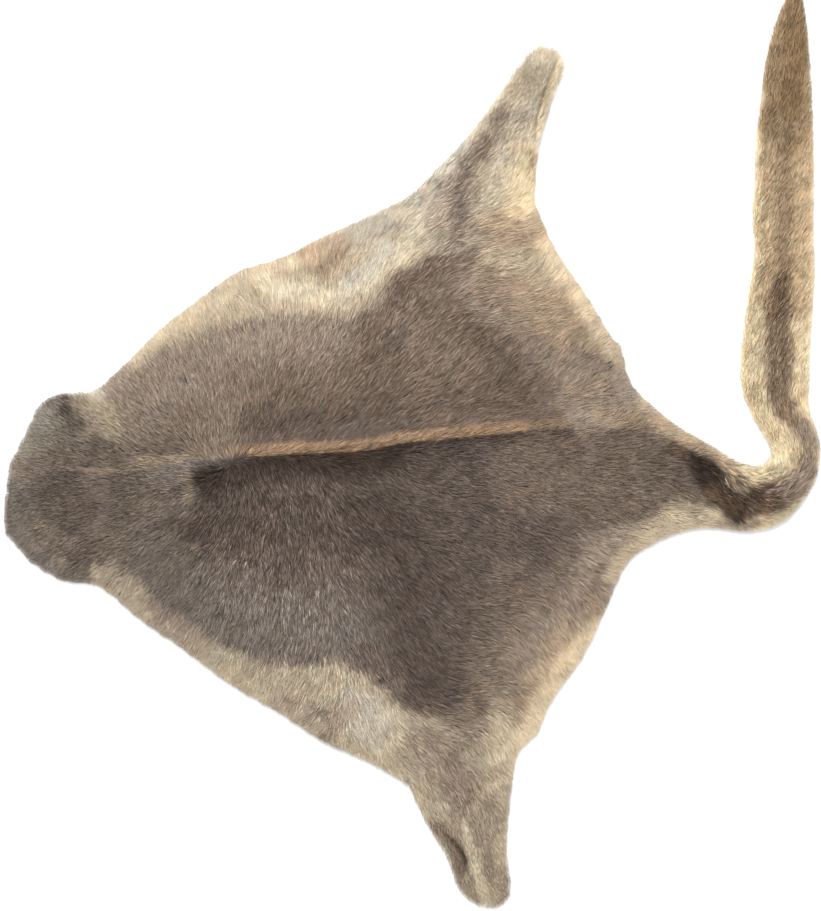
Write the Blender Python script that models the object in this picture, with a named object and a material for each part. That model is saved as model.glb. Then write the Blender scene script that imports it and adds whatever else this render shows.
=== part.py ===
"""Kangaroo hide, tanned with the hair on, lying hair side up on a flat surface.

One skin in one piece: head, flanks, both hind legs and the tail, with the coat on it
as thick as it lies. X runs from the nose to the root of the tail, Y across the back,
and Z up. Every size in the tables is in millimetres.
"""

import math
from collections import namedtuple

import bmesh
import bpy
from mathutils import Vector, kdtree, noise
from mathutils.geometry import delaunay_2d_cdt

MM = 0.001

# Skin and coat
SKIN = 1.2
EDGE_SHARE = 0.55
EDGE_FADE = 26.0
LEAST_COAT = 1.0
COAT_BLEND = 20.0
LUMP_HEIGHT = 0.9
LUMP_SPACING = 46.0

# Rim
RIM_STEP = 13.0
LOCK_DEPTH = 1.6
UNDERSIDE_INSET = 2.6
SHOULDER_INSET = 4.6
RIM_HEIGHT_SHARE = 0.42
SHOULDER_HEIGHT_SHARE = 0.86

# Spacing of the points inside the rim, and of the rows along steep folds and the bent tail
TOP_STEP = 16.5
UNDERSIDE_STEP = 34.0
CROWDING = 0.62
CURVE_STEP = 1.5
FOLD_STEP = 13.0
FOLD_ROW_GAP = 3.0
STEEP_REACH = 50.0
BEND_CROWN = 8.0
BEND_ROWS = (0.0, -15.0, 15.0, -28.0, 28.0)
BEND_ROW_GAP = 7.0

COAT_COLOUR = (0.185, 0.140, 0.108, 1.0)
COAT_ROUGHNESS = 0.9

# Half outline of head and flanks: place along the back, edge on each side of it
Across = namedtuple("Across", "along upper lower")
FLANKS = [
    Across(-590, 9, -136),
    Across(-575, 39, -154),
    Across(-560, 70, -166),
    Across(-540, 88, -178),
    Across(-520, 92, -188),
    Across(-500, 94, -190),
    Across(-480, 94, -192),
    Across(-460, 106, -199),
    Across(-440, 125, -215),
    Across(-410, 154, -241),
    Across(-380, 184, -262),
    Across(-340, 216, -290),
    Across(-300, 246, -320),
    Across(-260, 274, -348),
    Across(-220, 287, -371),
    Across(-180, 301, -395),
    Across(-140, 323, -422),
    Across(-100, 340, -442),
    Across(-60, 359, -460),
    Across(-30, 373, -477),
]

# Rump, from the hind legs back to the root of the tail
RUMP = [
    Across(190, 368, -416),
    Across(200, 344, -390),
    Across(210, 321, -370),
    Across(225, 294, -347),
    Across(250, 258, -312),
    Across(275, 221, -268),
    Across(300, 178, -210),
    Across(315, 163, -177),
    Across(322, 128, -164),
    Across(330, 108, -154),
    Across(345, 89, -142),
    Across(365, 71, -131),
    Across(390, 50, -120),
    Across(420, 31, -110),
    Across(450, 14, -108),
]

# Hind legs: place out along the leg, its front edge and its back edge
Leg = namedtuple("Leg", "out front back")
UPPER_LEG = [
    Leg(386, -5, 184),
    Leg(405, 17, 188),
    Leg(425, 35, 187),
    Leg(450, 61, 190),
    Leg(480, 87, 196),
    Leg(510, 110, 206),
    Leg(540, 132, 217),
    Leg(570, 150, 229),
    Leg(590, 165, 232),
    Leg(605, 179, 223),
]
LOWER_LEG = [
    Leg(-492, -4, 152),
    Leg(-520, 9, 149),
    Leg(-545, 20, 146),
    Leg(-570, 36, 144),
    Leg(-600, 53, 145),
    Leg(-620, 61, 147),
    Leg(-640, 67, 150),
    Leg(-655, 75, 150),
    Leg(-668, 88, 145),
]

# Short round ends, each drawn the way the outline runs
NOSE = [(-602, -16), (-605, -37), (-608, -68), (-609, -103), (-604, -121)]
LOWER_FOOT = [(101, -675), (117, -679), (134, -676)]
LOWER_HAUNCH = [(154, -473), (159, -450), (170, -434)]
UPPER_FOOT = [(211, 613), (194, 614)]
TAIL_TIP = (581, 702)

# Tail: middle line, width across it, and how far its crown stands off the surface
Tail = namedtuple("Tail", "x y width crown")
TAIL = [
    Tail(478, -59, 100, 0),
    Tail(505, -64, 98, 8),
    Tail(532, -61, 92, 15),
    Tail(554, -47, 80, 20),
    Tail(573, -19, 75, 22),
    Tail(578, 8, 71, 22),
    Tail(573, 28, 74, 19),
    Tail(563, 49, 78, 14),
    Tail(555, 69, 87, 9),
    Tail(548, 98, 100, 6),
    Tail(546, 130, 103, 5),
    Tail(548, 166, 102, 5),
    Tail(551, 202, 101, 5),
    Tail(555, 238, 98, 6),
    Tail(559, 272, 93, 6),
    Tail(560, 308, 90, 5),
    Tail(558, 344, 91, 5),
    Tail(558, 380, 91, 6),
    Tail(560, 416, 89, 6),
    Tail(561, 470, 86, 6),
    Tail(563, 523, 78, 5),
    Tail(565, 577, 69, 5),
    Tail(567, 613, 59, 4),
    Tail(571, 647, 46, 3),
    Tail(575, 680, 28, 0),
]

# Folds that lift the skin: middle line, height, reach to the left and right of the way
# the line runs, and the length over which it rises from nothing at each end
Fold = namedtuple("Fold", "name line height left right rise")
FOLDS = [
    Fold(
        "crease along the spine",
        [(-376, -16), (-308, -17), (-271, -4), (-166, 5), (-16, 23), (134, 35), (224, 41), (320, 45)],
        8, 34, 19, 110,
    ),
    Fold(
        "turned edge of the upper leg",
        [(176, 420), (190, 458), (194, 481), (202, 518), (209, 548), (218, 581), (224, 598)],
        5, 46, 6, 22,
    ),
    Fold(
        "pleat of the lower leg",
        [(64, -541), (74, -571), (83, -589), (92, -607), (95, -629), (100, -659), (105, -676)],
        11, 30, 7, 26,
    ),
    Fold("second ridge of the lower leg", [(128, -540), (131, -580), (132, -640)], 4, 15, 15, 30),
    Fold("step at the root of the tail", [(438, 8), (470, -30), (494, -68), (514, -104)], 9, 44, 16, 26),
    Fold("tuck in the upper flank", [(-104, 342), (-122, 300), (-150, 262)], 4, 24, 16, 26),
    Fold("tuck in the lower flank", [(-108, -438), (-124, -400), (-150, -368)], 4, 16, 26, 26),
    Fold("swell across the neck", [(-452, 70), (-446, -20), (-458, -130)], 4, 46, 34, 60),
    Fold("swell of the upper haunch", [(20, 190), (110, 220), (190, 230)], 4, 60, 70, 70),
    Fold("swell of the lower haunch", [(30, -250), (120, -280), (190, -270)], 4, 70, 60, 70),
    Fold("wave behind the shoulders", [(-190, 200), (-215, 90), (-205, 60)], 3, 60, 50, 60),
    Fold("wave of the lower flank", [(-230, -130), (-215, -220), (-235, -300)], 3, 50, 60, 60),
]

# Hollows pressed or brushed into the coat
Hollow = namedtuple("Hollow", "name x y reach depth")
HOLLOWS = [
    Hollow("whorl between the shoulders", -282, -34, 44, 3.2),
    Hollow("dark patch behind the whorl", -210, -22, 40, 1.6),
    Hollow("hollow before the ear side", -512, 62, 30, 1.8),
    Hollow("hollow of the neck", -478, -112, 34, 1.6),
    Hollow("lower end of the neck hollow", -492, -168, 26, 1.6),
    Hollow("hollow of the nape", -465, 8, 24, 1.4),
    Hollow("groove of the lower shin", 77, -492, 26, 1.4),
    Hollow("shadow before the tail root", 458, -44, 30, 3.0),
]

# How deep the coat lies at places over the hide
Coat = namedtuple("Coat", "name x y depth")
COATS = [
    Coat("muzzle", -590, -60, 5.0),
    Coat("head", -540, -50, 6.0),
    Coat("neck", -450, -40, 7.5),
    Coat("shoulders", -300, -20, 8.5),
    Coat("upper breast edge", -330, 190, 9.0),
    Coat("lower breast edge", -330, -250, 9.0),
    Coat("back", -60, 40, 8.0),
    Coat("upper belly edge", -60, 320, 10.5),
    Coat("lower belly edge", -60, -420, 10.5),
    Coat("upper haunch", 150, 220, 8.0),
    Coat("lower haunch", 150, -260, 8.5),
    Coat("rump", 300, 20, 8.0),
    Coat("upper shin", 130, 480, 5.0),
    Coat("upper foot", 200, 590, 3.8),
    Coat("lower shin", 90, -540, 5.0),
    Coat("lower foot", 115, -650, 3.8),
    Coat("root of the tail", 480, -55, 12.0),
    Coat("bend of the tail", 575, 0, 6.5),
    Coat("tail", 550, 200, 6.0),
    Coat("end of the tail", 565, 600, 4.5),
]


def smooth(share):
    """Ease from 0 to 1, level at both ends."""
    share = min(max(share, 0.0), 1.0)
    return share * share * (3.0 - 2.0 * share)


def side_of(way):
    """Unit vector to the left of a direction."""
    return Vector((-way.y, way.x)).normalized()


def spline_point(before, start, end, after, share):
    """Point on the smooth curve from start to end that also heeds their neighbours."""
    square = share * share
    cube = square * share
    return (
        start * 2.0
        + (end - before) * share
        + (before * 2.0 - start * 5.0 + end * 4.0 - after) * square
        + (start * 3.0 - before - end * 3.0 + after) * cube
    ) * 0.5


def closed_curve(knots, step):
    """Smooth closed curve through the knots, as points an equal step apart."""
    fine = []
    count = len(knots)
    for index, start in enumerate(knots):
        end = knots[(index + 1) % count]
        before = knots[index - 1]
        after = knots[(index + 2) % count]
        pieces = max(2, round((end - start).length / CURVE_STEP))
        fine += [spline_point(before, start, end, after, part / pieces) for part in range(pieces)]
    runs = [(fine[(index + 1) % len(fine)] - spot).length for index, spot in enumerate(fine)]
    total = sum(runs)
    wanted = round(total / step)
    spots = []
    walked = 0.0
    for index, run in enumerate(runs):
        while len(spots) < wanted and walked + run > len(spots) * total / wanted:
            share = (len(spots) * total / wanted - walked) / run
            spots.append(fine[index].lerp(fine[(index + 1) % len(fine)], share))
        walked += run
    return spots


def tail_edge(side):
    """Edge of the tail from root to tip, on its left (1) or right (-1)."""
    middles = [Vector((row.x, row.y)) for row in TAIL]
    edge = []
    for index, row in enumerate(TAIL):
        way = middles[min(index + 1, len(TAIL) - 1)] - middles[max(index - 1, 0)]
        edge.append(middles[index] + side_of(way) * (side * 0.5 * row.width))
    return edge


def outline_knots():
    """Knots of the whole outline, running down from the nose and round by the tail."""
    knots = list(NOSE)
    knots += [(row.along, row.lower) for row in FLANKS]
    knots += [(row.front, row.out) for row in LOWER_LEG]
    knots += LOWER_FOOT
    knots += [(row.back, row.out) for row in reversed(LOWER_LEG)]
    knots += LOWER_HAUNCH
    knots += [(row.along, row.lower) for row in RUMP]
    knots += tail_edge(-1)
    knots += [TAIL_TIP]
    knots += reversed(tail_edge(1))
    knots += [(row.along, row.upper) for row in reversed(RUMP)]
    knots += [(row.back, row.out) for row in UPPER_LEG]
    knots += UPPER_FOOT
    knots += [(row.front, row.out) for row in reversed(UPPER_LEG)]
    knots += [(row.along, row.upper) for row in reversed(FLANKS)]
    return [Vector(knot) for knot in knots]


def inward(ring):
    """Direction into the hide at each point of a ring that runs anticlockwise."""
    count = len(ring)
    return [side_of(ring[(index + 1) % count] - ring[index - 1]) for index in range(count)]


def with_locks(ring):
    """The rim with the ends of its hair locks standing in and out of the smooth edge."""
    ways = inward(ring)
    spots = []
    for index, spot in enumerate(ring):
        wave = noise.noise(Vector((spot.x, spot.y, 3.0)) / RIM_STEP)
        stagger = 0.5 if index % 2 else -0.5
        spots.append(spot + ways[index] * LOCK_DEPTH * (stagger + wave))
    return spots


def nearest_on_line(line, spot):
    """Distance to an open line, the side it is on, and the length run to the nearest point."""
    best = None
    run = 0.0
    for start, end in zip(line, line[1:]):
        way = end - start
        length = way.length
        share = min(max((spot - start).dot(way) / (length * length), 0.0), 1.0)
        gap = spot - (start + way * share)
        distance = gap.length
        if best is None or distance < best[0]:
            left = way.x * gap.y - way.y * gap.x > 0.0
            best = (distance, left, run + share * length)
        run += length
    return best + (run,)


def fold_line(fold):
    """Middle line of a fold as vectors."""
    return [Vector(knot) for knot in fold.line]


def fold_lift(fold, line, spot):
    """Height of one fold above the surface at a spot."""
    distance, left, along, length = nearest_on_line(line, spot)
    reach = fold.left if left else fold.right
    if distance >= reach:
        return 0.0
    ends = smooth(min(along, length - along) / fold.rise)
    return fold.height * ends * (0.5 + 0.5 * math.cos(math.pi * distance / reach))


def tail_lift(line, spot):
    """Height of the arched tail above the surface at a spot."""
    distance, _, along, _ = nearest_on_line(line, spot)
    run = 0.0
    for index, (start, end) in enumerate(zip(line, line[1:])):
        length = (end - start).length
        if along <= run + length or index == len(line) - 2:
            share = min((along - run) / length, 1.0)
            first = TAIL[index]
            second = TAIL[index + 1]
            crown = first.crown + (second.crown - first.crown) * share
            half = 0.5 * (first.width + (second.width - first.width) * share)
            return crown * max(0.0, 1.0 - (distance / half) ** 2)
        run += length
    return 0.0


class Relief:
    """Heights of the hide: how far the skin lifts, and how thick skin and coat are."""

    def __init__(self, ring):
        self.lines = [fold_line(fold) for fold in FOLDS]
        self.tail = [Vector((row.x, row.y)) for row in TAIL]
        self.rim = kdtree.KDTree(len(ring))
        for index, spot in enumerate(ring):
            self.rim.insert((spot.x, spot.y, 0.0), index)
        self.rim.balance()

    def lift(self, spot):
        """Height of the skin's underside: exactly nothing wherever no fold reaches."""
        heights = [fold_lift(fold, line, spot) for fold, line in zip(FOLDS, self.lines)]
        heights.append(tail_lift(self.tail, spot))
        return math.sqrt(sum(height * height for height in heights))

    def coat(self, spot):
        """Depth of the coat, blended between the places of the table."""
        total = 0.0
        weights = 0.0
        for row in COATS:
            weight = math.hypot(row.x - spot.x, row.y - spot.y, COAT_BLEND) ** -3
            total += weight * row.depth
            weights += weight
        return total / weights

    def thickness(self, spot):
        """Skin and coat together, thinner at the rim and in the hollows."""
        distance = self.rim.find((spot.x, spot.y, 0.0))[2]
        depth = self.coat(spot) * (EDGE_SHARE + (1.0 - EDGE_SHARE) * smooth(distance / EDGE_FADE))
        for row in HOLLOWS:
            share = math.hypot(row.x - spot.x, row.y - spot.y) / row.reach
            depth -= row.depth * smooth(1.0 - share)
        depth += LUMP_HEIGHT * noise.noise(Vector((spot.x, spot.y, 0.0)) / LUMP_SPACING)
        return SKIN + max(depth, LEAST_COAT)


class Spacing:
    """Spots of a face, each refused if it lies too near one that was taken before."""

    def __init__(self, ring, cell):
        self.cell = cell
        self.cells = {}
        self.ring = ring
        self.taken = []
        for spot in ring:
            self.remember(spot)

    def key(self, spot):
        return (math.floor(spot.x / self.cell), math.floor(spot.y / self.cell))

    def remember(self, spot):
        self.cells.setdefault(self.key(spot), []).append(spot)

    def is_free(self, spot, gap):
        column, row = self.key(spot)
        near = [(column + i, row + j) for i in (-1, 0, 1) for j in (-1, 0, 1)]
        return all((other - spot).length >= gap for key in near for other in self.cells.get(key, ()))

    def is_inside(self, spot):
        inside = False
        for index, start in enumerate(self.ring):
            end = self.ring[index - 1]
            if (start.y > spot.y) != (end.y > spot.y):
                crossing = start.x + (spot.y - start.y) * (end.x - start.x) / (end.y - start.y)
                if spot.x < crossing:
                    inside = not inside
        return inside

    def take(self, spot, gap):
        if self.is_free(spot, gap) and self.is_inside(spot):
            self.remember(spot)
            self.taken.append(spot)


def fold_spots(line, offsets):
    """Spots in rows along a fold: on its crest and at each offset to its left."""
    spots = []
    for start, end in zip(line, line[1:]):
        way = end - start
        pieces = max(1, round(way.length / FOLD_STEP))
        for part in range(pieces):
            middle = start.lerp(end, part / pieces)
            spots += [middle + side_of(way) * offset for offset in offsets]
    return spots


def face_spots(ring, step):
    """Spots inside a ring: rows along the steep folds and the tail first, then an even fill."""
    spacing = Spacing(ring, step)
    for fold in FOLDS:
        if max(fold.left, fold.right) < STEEP_REACH:
            offsets = [0.0, -fold.right, -0.5 * fold.right, 0.5 * fold.left, fold.left]
            for spot in fold_spots(fold_line(fold), offsets):
                spacing.take(spot, FOLD_ROW_GAP)
    bend = [Vector((row.x, row.y)) for row in TAIL if row.crown > BEND_CROWN]
    for spot in fold_spots(bend, BEND_ROWS):
        spacing.take(spot, BEND_ROW_GAP)
    row_step = step * math.sqrt(0.75)
    low_x = min(spot.x for spot in ring)
    low_y = min(spot.y for spot in ring)
    columns = math.ceil((max(spot.x for spot in ring) - low_x) / step)
    rows = math.ceil((max(spot.y for spot in ring) - low_y) / row_step)
    for row in range(rows):
        for column in range(columns):
            shift = 0.5 * (row % 2)
            spot = Vector((low_x + (column + shift) * step, low_y + (row + 0.5) * row_step))
            spacing.take(spot, CROWDING * step)
    return spacing.taken


def add_face(mesh, ring, ring_verts, spots, height, upward):
    """Triangulate a ring and the spots inside it as the top or the underside."""
    inner = [mesh.verts.new((spot.x, spot.y, height(spot))) for spot in spots]
    flat = list(ring) + list(spots)
    verts = list(ring_verts) + inner
    border = [list(range(len(ring)))]
    _, _, faces, origins, _, _ = delaunay_2d_cdt(flat, [], border, 1, 1e-6)
    for face in faces:
        corners = [verts[origins[corner][0]] for corner in face]
        if not upward:
            corners.reverse()
        mesh.faces.new(corners)


def bridge(mesh, lower, upper):
    """Close the strip between two rings of equal count."""
    count = len(lower)
    for index in range(count):
        after = (index + 1) % count
        mesh.faces.new((lower[index], lower[after], upper[after]))
        mesh.faces.new((lower[index], upper[after], upper[index]))


def build_hide():
    """Mesh of the whole hide in metres, centred over the middle of its box."""
    smooth_ring = closed_curve(outline_knots(), RIM_STEP)
    ring = with_locks(smooth_ring)
    ways = inward(smooth_ring)
    under_ring = [spot + way * UNDERSIDE_INSET for spot, way in zip(ring, ways)]
    shoulder_ring = [spot + way * SHOULDER_INSET for spot, way in zip(ring, ways)]
    relief = Relief(ring)
    lifts = [relief.lift(spot) for spot in ring]
    depths = [relief.thickness(spot) for spot in ring]

    mesh = bmesh.new()
    under = [mesh.verts.new((s.x, s.y, lift)) for s, lift in zip(under_ring, lifts)]
    rim = [
        mesh.verts.new((s.x, s.y, lift + RIM_HEIGHT_SHARE * depth))
        for s, lift, depth in zip(ring, lifts, depths)
    ]
    shoulder = [
        mesh.verts.new((s.x, s.y, relief.lift(s) + SHOULDER_HEIGHT_SHARE * depth))
        for s, depth in zip(shoulder_ring, depths)
    ]
    bridge(mesh, under, rim)
    bridge(mesh, rim, shoulder)
    top_spots = face_spots(shoulder_ring, TOP_STEP)
    under_spots = face_spots(under_ring, UNDERSIDE_STEP)
    add_face(
        mesh, shoulder_ring, shoulder, top_spots,
        lambda spot: relief.lift(spot) + relief.thickness(spot), True,
    )
    add_face(mesh, under_ring, under, under_spots, relief.lift, False)

    middle_x = 0.5 * (min(s.x for s in ring) + max(s.x for s in ring))
    middle_y = 0.5 * (min(s.y for s in ring) + max(s.y for s in ring))
    bmesh.ops.translate(mesh, verts=mesh.verts, vec=(-middle_x, -middle_y, 0.0))
    bmesh.ops.scale(mesh, verts=mesh.verts, vec=(MM, MM, MM))
    return mesh


def coat_material():
    material = bpy.data.materials.new("grey_brown_coat")
    material.use_nodes = True
    shader = material.node_tree.nodes["Principled BSDF"]
    shader.inputs["Base Color"].default_value = COAT_COLOUR
    shader.inputs["Roughness"].default_value = COAT_ROUGHNESS
    shader.inputs["Metallic"].default_value = 0.0
    return material


def add_hide():
    mesh = build_hide()
    data = bpy.data.meshes.new("hide")
    mesh.to_mesh(data)
    mesh.free()
    data.materials.append(coat_material())
    data.shade_smooth()
    hide = bpy.data.objects.new("hide", data)
    bpy.context.scene.collection.objects.link(hide)
    return hide


for leftover in list(bpy.data.objects):
    bpy.data.objects.remove(leftover, do_unlink=True)
add_hide()
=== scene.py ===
"""Looks of a hair-on kangaroo hide lying flat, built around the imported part.

The tables are in survey millimetres, with the middle of the view at 0, 0. Everything built is in metres
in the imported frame, which lies SHIFT away from the survey.
"""

import math
from collections import namedtuple

import bmesh
import bpy
import numpy as np
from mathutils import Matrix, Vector
from mathutils.bvhtree import BVHTree
from mathutils.geometry import delaunay_2d_cdt
from mathutils.kdtree import KDTree


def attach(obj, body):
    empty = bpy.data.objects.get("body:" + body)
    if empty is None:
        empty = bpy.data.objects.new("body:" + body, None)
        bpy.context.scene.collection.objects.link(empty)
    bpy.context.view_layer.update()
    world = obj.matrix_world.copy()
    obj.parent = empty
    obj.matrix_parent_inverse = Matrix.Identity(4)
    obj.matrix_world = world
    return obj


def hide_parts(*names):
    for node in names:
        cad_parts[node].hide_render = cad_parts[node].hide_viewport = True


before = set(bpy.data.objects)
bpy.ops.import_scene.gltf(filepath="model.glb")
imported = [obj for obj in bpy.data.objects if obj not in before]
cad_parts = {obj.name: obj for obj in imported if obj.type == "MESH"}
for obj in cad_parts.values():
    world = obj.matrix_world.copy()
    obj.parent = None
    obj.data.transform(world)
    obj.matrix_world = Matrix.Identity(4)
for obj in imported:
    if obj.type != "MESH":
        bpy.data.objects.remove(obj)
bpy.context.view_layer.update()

MM = 0.001
SHIFT = np.array([-0.002102, -0.011597])

# Heights of the solid are read once on a square lattice, in millimetres.
LATTICE = 2.5
MARGIN = 30.0
SPREAD_ROUNDS = 14
OUTLINE_STEP = 1.5

# Skin sheet, in millimetres.
SKIN = 1.2
SKIN_INSET = 4.0
SKIN_STEP = 9.0
SKIN_ROW = 0.866
SKIN_ROOM = 0.6
SKIN_RIM_STEP = 5.0

# Hairs: lengths in millimetres, the rest are shares. A hair is a low roof, widest at its middle.
HAIR_GAP = 1.26
HAIR_WIDTH = 0.9
WIDTH_MEAN = 0.85
WIDTH_SPREAD = 0.3
THINNEST = 0.6
HAIR_ROOF = 0.2
HAIR_MIDDLE = 0.42
HAIR_BULGE = 0.16
HAIR_SEEN = 0.7
SHORTEST = 0.5
FULL_WIDTH = 12.0
REACH = 0.82
REACH_SPREAD = 0.16
COAT_DEPTH = 3.6
DEPTH_SPREAD = 0.25
TIP_LIFT = 0.3
TIP_SPREAD = 0.45
TIP_ROOM = 0.4
MIDDLE_SUNK = 0.2

# Guard hairs stand out of the undercoat.
GUARD_SHARE = 0.13
GUARD_DEPTH = 1.4
GUARD_LIFT = 0.7
GUARD_GLOW = 0.3

# Hairs gather in locks, and differ in heading by the mess in radians, long ones more.
# COMB_BLUR is in square millimetres.
LOCK_GAP = 5.0
LOCK_SCATTER = 0.42
LOCK_STRETCH = 3.6
LOCK_PULL = 0.32
LOCK_LIFT = 0.32
LOCK_REACH = 0.9
LOCK_REACH_SPREAD = 0.22
LOCK_MESS = 1.3
MESS = 0.16
LONG_MESS = 0.12
LONG_HAIR = 20.0
LONGEST_HAIR = 24.0
WAVE = 0.16
WAVE_SIZE = 20.0
COMB_BLUR = 200.0

# At the rim the hairs fan outwards and end in a ragged line.
RIM_ROOM = 1.5
RIM_FAN = 12.0
RIM_TURN = 0.45
RIM_REACH = 0.8
RIM_RAGS = 2.0
RIM_SHORTEST = 0.25

# Tones of the coat. Hair is pale where its colour nears PALE_LEVEL, and lies calmer there.
COAT_GAIN = 1.105
BRIGHTEST = 0.95
LOCK_TONE = 0.08
HAIR_TONE = 0.22
LOCK_WARMTH = 0.012
PALE_LEVEL = 0.5
PALE_CALM = 0.6
PALE_LIE = 0.45
ROOT_SHADE = 0.8
MIDDLE_SHADE = 0.95
TIP_SHADE = 1.12
UNDERCOAT_SHADE = 0.7
PALE_ROOT = 0.12
PALE_MIDDLE = 0.04
PALE_UNDERCOAT = 0.15

# Borders of the strokes wander by coarse and fine ripples, and the whole coat is mottled.
COARSE = 30.0
COARSE_DRIFT = 3.0
FINE = 9.0
FINE_DRIFT = 1.2
CRISP_BLUR = 5
MOTTLE = 0.06
MOTTLE_SIZE = 18.0
WARMTH = 0.012
WARMTH_SIZE = 26.0
SHORT_RIPPLE = 1.3
LONG_RIPPLE = 3.2

PALETTE = {
    "umber": (62, 50, 42),
    "dark slate": (82, 70, 62),
    "slate": (101, 88, 79),
    "smoke": (112, 102, 93),
    "ash": (133, 123, 112),
    "drab": (114, 98, 85),
    "taupe": (131, 115, 100),
    "mushroom": (154, 138, 122),
    "fawn": (180, 157, 131),
    "khaki": (176, 162, 139),
    "shell": (184, 174, 157),
    "sand": (196, 180, 154),
    "straw": (212, 194, 165),
    "light straw": (228, 207, 173),
    "cream": (216, 203, 178),
    "light shell": (208, 195, 172),
    "bone": (205, 197, 181),
    # Painted light: the lit upper slope of the spine crease.
    "painted light of the spine": (168, 139, 110),
    "honey": (176, 150, 116),
    "tail brown": (110, 90, 72),
    "bark": (90, 72, 57),
    "sepia": (50, 39, 32),
    "tip brown": (126, 101, 71),
}

SPINE = [
    (-376, -16), (-308, -17), (-271, -6), (-226, 0), (-166, 4), (-106, 7), (-76, 8), (-46, 12),
    (-16, 20), (44, 25), (104, 31), (134, 34), (194, 39), (224, 41), (320, 45),
]

SCAR = (40, 30, 26)

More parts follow.
